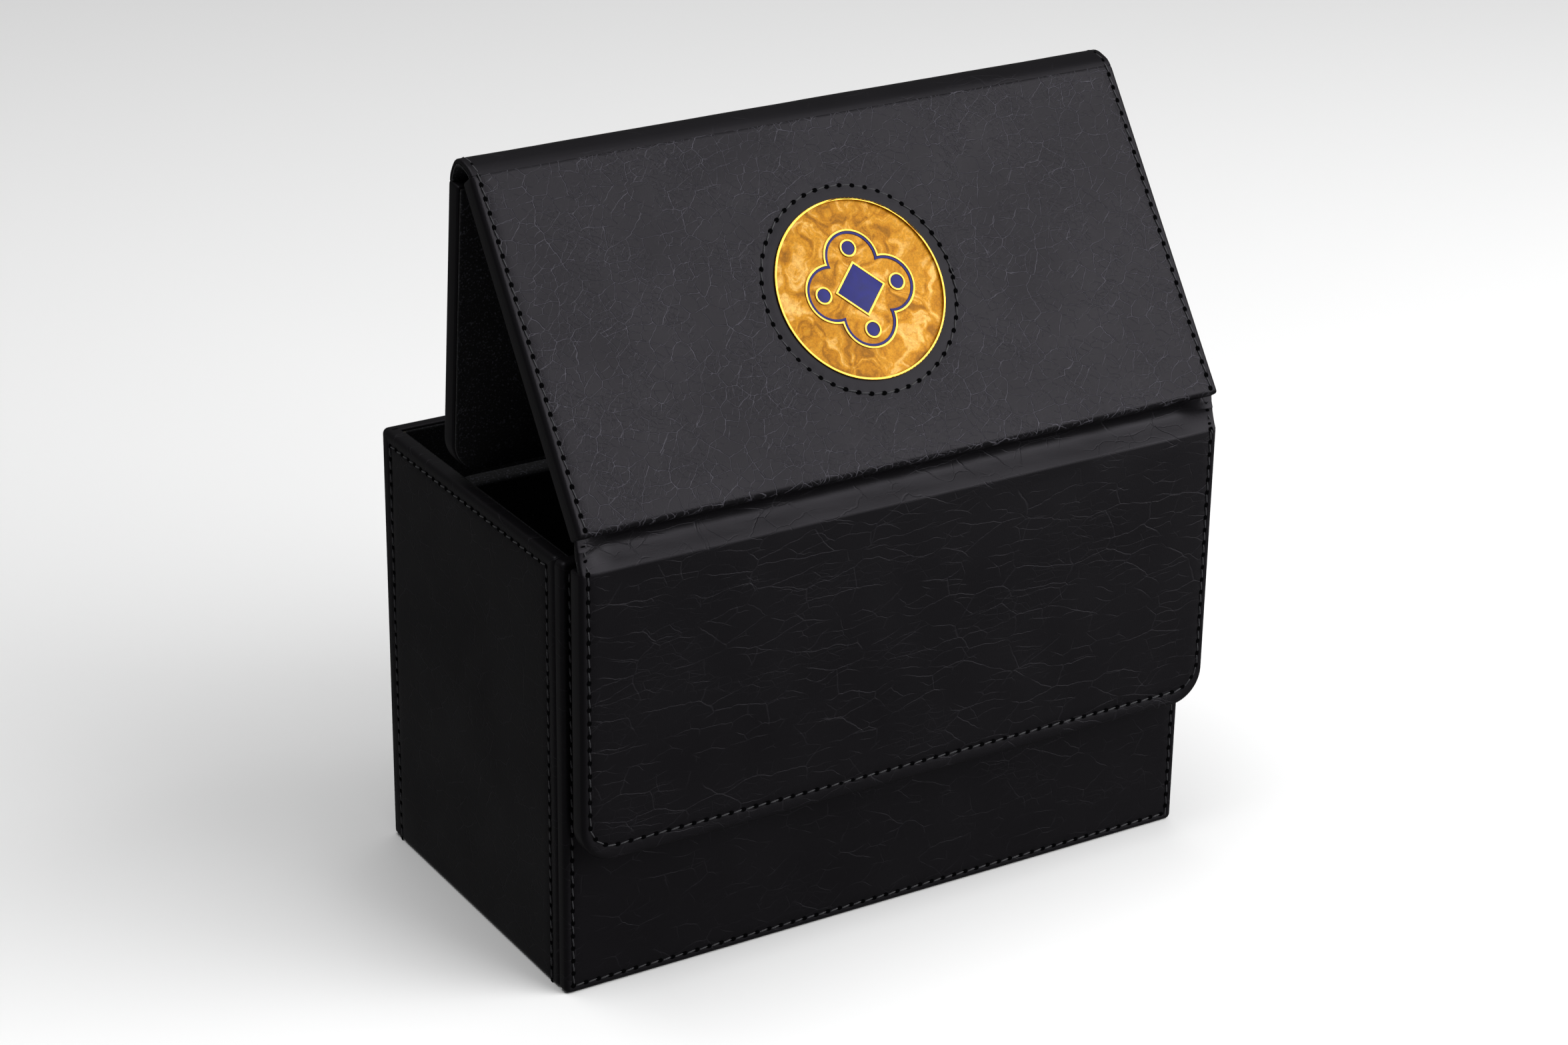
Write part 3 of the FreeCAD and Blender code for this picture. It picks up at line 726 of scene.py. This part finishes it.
def along_profile(knots, shift=0.0, fill=0.0):
    """Return a function that puts local points on a bent strip, and the strip's length, from knots in (y, z).

    fill is how far the strip stands out again at its two ends, where the stitched edge holds it flatter.
    """
    knots = np.array(knots, float)
    fine = []
    padded = np.vstack([2 * knots[0] - knots[1], knots, 2 * knots[-1] - knots[-2]])
    for a, b, c, d in zip(padded, padded[1:], padded[2:], padded[3:]):
        for t in np.linspace(0, 1, 24, endpoint=False):
            fine.append(0.5 * (2 * b + (c - a) * t + (2 * a - 5 * b + 4 * c - d) * t ** 2
                               + (3 * b - a - 3 * c + d) * t ** 3))
    fine = np.array(fine + [knots[-1]])
    steps = np.linalg.norm(np.diff(fine, axis=0), axis=1)
    reach = np.concatenate([[0], np.cumsum(steps)])
    slope = np.gradient(fine, reach, axis=0)
    slope /= np.linalg.norm(slope, axis=1)[:, None]

    def place_points(x, y, w):
        py, pz = np.interp(y, reach, fine[:, 0]), np.interp(y, reach, fine[:, 1])
        ty, tz = np.interp(y, reach, slope[:, 0]), np.interp(y, reach, slope[:, 1])
        end_share = np.clip((np.abs(x) - box_width / 2 + end_run) / end_fade, 0, 1)
        swell = np.clip(np.sin(math.pi * np.clip(y / reach[-1], 0, 1) ** 1.6), 0, 1) ** 0.8
        w = w + shift + fill * end_share ** 2 * (3 - 2 * end_share) * swell
        return np.stack([x, py - tz * w, pz + ty * w], axis=-1)
    return place_points, reach[-1]


def pinches(seed, size, depth):
    """Return small folds that run mostly along a spine."""
    chance = np.random.default_rng(seed)
    waves = [(chance.uniform(0.5, 1.0), 2 * math.pi / chance.uniform(5, 26),
              2 * math.pi / chance.uniform(2.2, 5.0), chance.uniform(0, 2 * math.pi)) for _ in range(size)]

    def fold(x, y):
        total = sum(a * np.sin(kx * x + ky * y + phase) for a, kx, ky, phase in waves)
        return depth * total / math.sqrt(size)
    return fold


def spine_pair(name, knots, bend, outer, rise, fill, seed):
    """Make a spine's leatherette and its suede backing in their rest shape; the bend is not applied."""
    for part, depth, shift, material, slot in (("leatherette", spine_sheet, 0.0, outer, "leatherette"),
                                               ("suede", spine_suede, -spine_sheet, black_suede, "suede")):
        place_points, length = along_profile(knots, shift, fill)
        strip = wrapped(name + "_" + part, box_width - spine_narrowing, length, depth, place_points, material,
                        None, radii=(0, 0), ends=("flush", "flush"), hollow=False, rumple=0.05, seed=seed,
                        radius=depth / 2, foot=spine_foot, wander=pinches(seed, 9, rise))
        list(bend[:2])
        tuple(bend[2])
        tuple(bend[3])
        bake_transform(strip)
        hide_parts(name + ("_leather" if part == "leatherette" else "_lining"))


# The front spine leaves the flap's edge, hollows towards the box and tucks in under the top panel's edge.
front_fill = 2.3
seat_depth = 2.6
fold_line = 1.6  # the top panel's end of the bend lies this far under the panel's lower edge
soft_drop = fold_radius * (1 - math.cos(fold_turn))
crease_foot = np.array([flap_low.y + soft_drop, flap_high.z])
crease_seat = (top_corner - top_out * seat_depth)[1:]
front_knots = [crease_foot, crease_foot + (0.6, 0.6), crease_foot + (2.0, 1.8), crease_foot + (3.1, 2.9),
               crease_foot + (3.6, 3.8), crease_foot + (3.6, 4.8), crease_foot + (3.1, 5.9),
               crease_seat - (0.02, 0.02)]
front_bend = ("front_flap", "top_panel", (0, crease_foot[0] * mm, crease_foot[1] * mm),
              (0, crease_foot[0] * mm, (top_corner[2] - fold_line) * mm))
spine_pair("front_spine", front_knots, front_bend, flap_creased, 0.03, front_fill, 41)

# The ridge spine rises a little over the lid's highest edge and falls to the back flap.
ridge_rise = 1.9
ridge_start = (top_upper - top_out * soft_drop)[1:]
ridge_end = (back_corner - back_out * soft_drop)[1:]
ridge_top = top_upper[2] + ridge_rise
ridge_knots = [ridge_start, ridge_start + (1.2, 1.0), (ridge_start[0] + 3.2, ridge_top - 0.35),
               (ridge_start[0] + 5.4, ridge_top), (ridge_end[0] - 2.4, ridge_top - 0.9),
               (ridge_end[0] - 0.5, ridge_end[1] + 1.9), ridge_end]
ridge_bend = ("top_panel", "back_flap", (0, ridge_start[0] * mm, ridge_top * mm),
              (0, ridge_end[0] * mm, ridge_end[1] * mm))
spine_pair("ridge_spine", ridge_knots, ridge_bend, ridge_smooth, 0.01, 0.0, 43)


# ---------------------------------------------------------------- Stitches
# Black polyester thread in a lockstitch of about three millimetres. Each stitch is a short length of thread
# that dives into a needle hole at both ends. The holes are small flat near-black shapes in the seam's groove:
# painted shade that stands in for the depth of each hole.
stitch_length = 2.4
thread_thick = 0.34
hole_size = 1.05
hole_shape = (1.25, 1.0, 0.22)  # drawn out along the seam, and shallow
stitch_slant = math.radians(7)
sunk = groove_depth * 0.45
polyester, tree, shader, place = new_material(
    "polyester_thread", {"Roughness": 0.42, "Specular IOR Level": 0.3, "Sheen Weight": 0.15})
plies = add(tree, "ShaderNodeTexNoise", inputs={"Vector": place, "Scale": 1 / (0.25 * mm), "Detail": 2.0})
shade = add(tree, "ShaderNodeMix", {"data_type": "RGBA"},
            {0: plies.outputs[0], 6: linear("#0b0b0d"), 7: linear("#303035")})
twist = add(tree, "ShaderNodeBump", inputs={"Distance": 0.08 * mm, "Height": plies.outputs[0]})
tree.links.new(shade.outputs[2], shader.inputs["Base Color"])
tree.links.new(twist.outputs[0], shader.inputs["Normal"])
# The needle holes are matt near-black without reflection: painted shade, slightly uneven, where the holes are
# dark.
hole_shade_black, tree, shader, place = new_material("needle_hole_shade", {"Roughness": 1.0, "Specular IOR Level": 0.0})
hole_shade_noise = add(tree, "ShaderNodeTexNoise", inputs={"Vector": place, "Scale": 1 / (0.3 * mm)})
shade = add(tree, "ShaderNodeMix", {"data_type": "RGBA"},
            {0: hole_shade_noise.outputs[0], 6: linear("#020202"), 7: linear("#060607")})
tree.links.new(shade.outputs[2], shader.inputs["Base Color"])


def stitch_tree():
    """Build the node tree that lays stitches and holes along a path, square to its points' face_normal."""
    tree = bpy.data.node_groups.new("lockstitch", "GeometryNodeTree")
    tree.interface.new_socket("Path", in_out="INPUT", socket_type="NodeSocketGeometry")
    for label, value in (("Pitch", stitch_pitch * mm), ("Stitch Length", stitch_length * mm),
                         ("Thread", thread_thick * mm), ("Hole", hole_size * mm), ("Slant", stitch_slant)):
        socket = tree.interface.new_socket(label, in_out="INPUT", socket_type="NodeSocketFloat")
        socket.default_value = value
    tree.interface.new_socket("Stitches", in_out="OUTPUT", socket_type="NodeSocketGeometry")
    given = add(tree, "NodeGroupInput").outputs
    curve = add(tree, "GeometryNodeMeshToCurve", inputs={"Mesh": given["Path"]})
    half_pitch = add(tree, "ShaderNodeMath", {"operation": "MULTIPLY"}, {0: given["Pitch"], 1: 0.5})
    points = add(tree, "GeometryNodeCurveToPoints", {"mode": "LENGTH"},
                 {"Curve": curve.outputs[0], "Length": half_pitch.outputs[0]})
    normal = add(tree, "GeometryNodeInputNamedAttribute", {"data_type": "FLOAT_VECTOR"},
                 {"Name": "face_normal"})
    turned = add(tree, "FunctionNodeAxesToRotation", {"primary_axis": "Z", "secondary_axis": "X"},
                 {"Primary Axis": normal.outputs[0], "Secondary Axis": points.outputs["Tangent"]})
    number = add(tree, "GeometryNodeInputIndex")
    odd = add(tree, "ShaderNodeMath", {"operation": "MODULO"}, {0: number.outputs[0], 1: 2.0})
    thread = add(tree, "GeometryNodeMeshUVSphere", inputs={"Segments": 8, "Rings": 6, "Radius": 0.5})
    shape = add(tree, "ShaderNodeCombineXYZ", inputs={"X": given["Stitch Length"], "Y": given["Thread"],
                                                      "Z": given["Thread"]})
    sized = add(tree, "GeometryNodeTransform",
                inputs={"Geometry": thread.outputs[0], "Scale": shape.outputs[0]})
    slanted = add(tree, "ShaderNodeCombineXYZ", inputs={"Z": given["Slant"]})
    leant = add(tree, "GeometryNodeTransform",
                inputs={"Geometry": sized.outputs[0], "Rotation": slanted.outputs[0]})
    smooth = add(tree, "GeometryNodeSetShadeSmooth", inputs={"Geometry": leant.outputs[0]})
    laid = add(tree, "GeometryNodeInstanceOnPoints",
               inputs={"Points": points.outputs[0], "Selection": odd.outputs[0],
                       "Instance": smooth.outputs[0], "Rotation": turned.outputs[0]})
    thread_real = add(tree, "GeometryNodeRealizeInstances", inputs={"Geometry": laid.outputs[0]})
    thread_done = add(tree, "GeometryNodeSetMaterial",
                      inputs={"Geometry": thread_real.outputs[0], "Material": polyester})
    # Each hole is a flat dark lens in the seam that carries the painted shade of the hole.
    pit = add(tree, "GeometryNodeMeshUVSphere", inputs={"Segments": 8, "Rings": 5, "Radius": 0.5})
    flat = add(tree, "ShaderNodeVectorMath", {"operation": "SCALE"}, {0: hole_shape, "Scale": given["Hole"]})
    squashed = add(tree, "GeometryNodeTransform",
                   inputs={"Geometry": pit.outputs[0], "Scale": flat.outputs[0]})
    even = add(tree, "ShaderNodeMath", {"operation": "SUBTRACT"}, {0: 1.0, 1: odd.outputs[0]})
    bored = add(tree, "GeometryNodeInstanceOnPoints",
                inputs={"Points": points.outputs[0], "Selection": even.outputs[0],
                        "Instance": squashed.outputs[0], "Rotation": turned.outputs[0]})
    pit_real = add(tree, "GeometryNodeRealizeInstances", inputs={"Geometry": bored.outputs[0]})
    pit_done = add(tree, "GeometryNodeSetMaterial",
                   inputs={"Geometry": pit_real.outputs[0], "Material": hole_shade_black})
    both = add(tree, "GeometryNodeJoinGeometry")
    tree.links.new(thread_done.outputs[0], both.inputs[0])
    tree.links.new(pit_done.outputs[0], both.inputs[0])
    output = add(tree, "NodeGroupOutput")
    tree.links.new(both.outputs[0], output.inputs[0])
    return tree


lockstitch = stitch_tree()


def sew(name, runs, replaced, body=None, bend=None):
    """Sew stitches along runs of (place function, local path), as one piece on a body, or in place on none; a
    bend is not applied.
    """
    points, normals, edges = [], [], []
    for place_points, path in runs:
        path = np.asarray(path, float)
        level = np.full(len(path), -sunk)
        low = place_points(path[:, 0], path[:, 1], level)
        above = place_points(path[:, 0], path[:, 1], level + 1)
        first = len(points)
        points += (low * mm).tolist()
        normals += (above - low).tolist()
        edges += [(first + k, first + k + 1) for k in range(len(path) - 1)]
    mesh = bpy.data.meshes.new(name + "_path")
    mesh.from_pydata(points, edges, [])
    mesh.attributes.new("face_normal", "FLOAT_VECTOR", "POINT").data.foreach_set(
        "vector", np.array(normals, np.float32).ravel())
    carrier = bpy.data.objects.new(name + "_path", mesh)
    bpy.context.scene.collection.objects.link(carrier)
    carrier.modifiers.new("lockstitch", "NODES").node_group = lockstitch
    evaluated = carrier.evaluated_get(bpy.context.evaluated_depsgraph_get())
    result = bpy.data.meshes.new_from_object(evaluated)
    bpy.data.objects.remove(carrier)
    result.name = name
    if "face_normal" in result.attributes:
        result.attributes.remove(result.attributes["face_normal"])
    piece = bpy.data.objects.new(name, result)
    bpy.context.scene.collection.objects.link(piece)
    if body:
        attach(piece, body)
    else:
        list(bend[:2])
        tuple(bend[2])
        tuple(bend[3])
        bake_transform(piece)
    if replaced:
        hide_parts(*replaced)
    return piece


sew("front_wall_stitches", [(front_place, front_path)], ["front_wall_thread"], "box")
sew("back_wall_stitches", [(back_place, back_path)], ["back_wall_thread"], "box")
for side in ("left_wall", "right_wall"):
    sew(side + "_stitches", [(side_place[side], side_paths[side])], [side + "_thread"], "box")
sew("front_flap_stitches", [(flap_place, flap_path)], ["front_flap_thread"], "front_flap")
sew("back_flap_stitches", [(back_flap_place, back_flap_path)], ["back_flap_thread"], "back_flap")
sew("top_panel_stitches", [(top_place, path) for path in top_sides], ["top_panel_thread"], "top_panel")
sew("medallion_stitches", [(top_place, ring_path)], ["medallion_thread"], "top_panel")
for name, knots, fill, bend in (("front_spine", front_knots, front_fill, front_bend),
                                ("ridge_spine", ridge_knots, 0.0, ridge_bend)):
    strip_place, strip_length = along_profile(knots, fill=fill)
    runs = [(strip_place, path) for path in side_seams(0, strip_length - 1, 30)]
    sew(name + "_stitches", runs, [], None, bend)


# ---------------------------------------------------------------- Medallion
# A round badge let into the leatherette: a gilt metal cup and raised gilt lines, filled with pearlescent
# amber resin enamel that swirls, and with cobalt blue enamel.
gilt, tree, shader, place = new_material("gilt_metal", {"Metallic": 1.0})
tarnish = add(tree, "ShaderNodeTexNoise", inputs={"Vector": place, "Scale": 1 / (2 * mm), "Detail": 3.0})
shade = add(tree, "ShaderNodeMix", {"data_type": "RGBA"},
            {0: tarnish.outputs[0], 6: linear("#c08a28"), 7: linear("#dcae50")})
dull = add(tree, "ShaderNodeMapRange", inputs={"Value": tarnish.outputs[0], "To Min": 0.16, "To Max": 0.3})
tree.links.new(shade.outputs[2], shader.inputs["Base Color"])
tree.links.new(dull.outputs[0], shader.inputs["Roughness"])

pearl, tree, shader, place = new_material(
    "pearl_enamel", {"Coat Weight": 0.05, "Coat Roughness": 0.2, "Metallic": 0.2, "Roughness": 0.4,
                     "Specular IOR Level": 0.1})
drift = add(tree, "ShaderNodeTexNoise", inputs={"Vector": place, "Scale": 1 / (9 * mm), "Detail": 2.0})
pushed = add(tree, "ShaderNodeVectorMath", {"operation": "MULTIPLY_ADD"},
             {0: drift.outputs["Color"], 1: (16 * mm, 16 * mm, 16 * mm), 2: place})
swirl = add(tree, "ShaderNodeTexNoise",
            inputs={"Vector": pushed.outputs[0], "Scale": 1 / (7 * mm), "Detail": 4.0, "Distortion": 1.6})
amber = add(tree, "ShaderNodeValToRGB", inputs={0: swirl.outputs[0]})
ambers = ((0.34, "#7c4e00"), (0.44, "#996303"), (0.54, "#aa7514"), (0.67, "#c69950"))
for k, (stop, code) in enumerate(ambers):
    spot = amber.color_ramp.elements[k] if k < 2 else amber.color_ramp.elements.new(stop)
    spot.position, spot.color = stop, linear(code)
flakes = add(tree, "ShaderNodeTexVoronoi", inputs={"Vector": place, "Scale": 1 / (0.28 * mm)})
glint = add(tree, "ShaderNodeSeparateColor", inputs={0: flakes.outputs["Color"]})
sparkle = add(tree, "ShaderNodeMapRange", inputs={"Value": glint.outputs[0], "To Min": 0.82, "To Max": 1.18})
lit = add(tree, "ShaderNodeVectorMath", {"operation": "SCALE"},
          {0: amber.outputs[0], "Scale": sparkle.outputs[0]})
tree.links.new(lit.outputs[0], shader.inputs["Base Color"])
facets = add(tree, "ShaderNodeBump",
             inputs={"Strength": 0.35, "Distance": 0.05 * mm, "Height": glint.outputs[1]})
tree.links.new(facets.outputs[0], shader.inputs["Normal"])

cobalt, tree, shader, place = new_material(
    "cobalt_enamel", {"Coat Weight": 0.05, "Coat Roughness": 0.2, "Roughness": 0.35,
                      "Specular IOR Level": 0.15})
depths = add(tree, "ShaderNodeTexNoise", inputs={"Vector": place, "Scale": 1 / (1.6 * mm)})
shade = add(tree, "ShaderNodeMix", {"data_type": "RGBA"},
            {0: depths.outputs[0], 6: linear("#030548"), 7: linear("#070b6e")})
tree.links.new(shade.outputs[2], shader.inputs["Base Color"])


def softened(node_name, piece_name, width, material):
    """Stand a copy of a hard-edged shape in for it, with its edges rounded by a width in mm."""
    mesh = nodes[node_name].data.copy()
    mesh.name = piece_name
    work = bmesh.new()
    work.from_mesh(mesh)
    bmesh.ops.remove_doubles(work, verts=work.verts, dist=1e-6)
    bmesh.ops.dissolve_limit(work, angle_limit=math.radians(1), verts=work.verts, edges=work.edges)
    work.to_mesh(mesh)
    work.free()
    mesh.materials.clear()
    mesh.materials.append(material)
    piece = bpy.data.objects.new(piece_name, mesh)
    bpy.context.scene.collection.objects.link(piece)
    bevel = piece.modifiers.new("rounding", "BEVEL")
    bevel.width = width * mm
    bevel.segments = 3
    bevel.angle_limit = math.radians(40)
    rounded = bpy.data.meshes.new_from_object(piece.evaluated_get(bpy.context.evaluated_depsgraph_get()))
    piece.modifiers.clear()
    piece.data = rounded
    rounded.shade_smooth()
    rounded.set_sharp_from_angle(angle=math.radians(35))
    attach(piece, "top_panel")
    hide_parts(node_name)
    return piece


softened("medallion_cup", "badge_cup", 0.12, gilt)
softened("medallion_field", "badge_pearl_enamel", 0.05, pearl)
softened("medallion_emblem", "badge_gilt_lines", 0.1, gilt)
softened("medallion_blue_enamel", "badge_blue_enamel", 0.05, cobalt)


# ---------------------------------------------------------------- Divider
# A board in a sewn suede sleeve with rounded top corners. It stands loose across the box between the cards.
divider_low, divider_high = (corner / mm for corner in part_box("divider_cover"))
divider_corner = 8.0
divider_place = flat_place((0, divider_low.y, divider_low.z), (0, 0, 1), (0, -1, 0))
divider = wrapped("divider_sleeve", divider_high.x - divider_low.x, divider_high.z - divider_low.z,
                  divider_high.y - divider_low.y, divider_place, black_suede, "divider",
                  radii=(0.8, divider_corner), hollow=False, rumple=0.1, radius=0.8, foot=0.6, seed=51)
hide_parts("divider_cover")
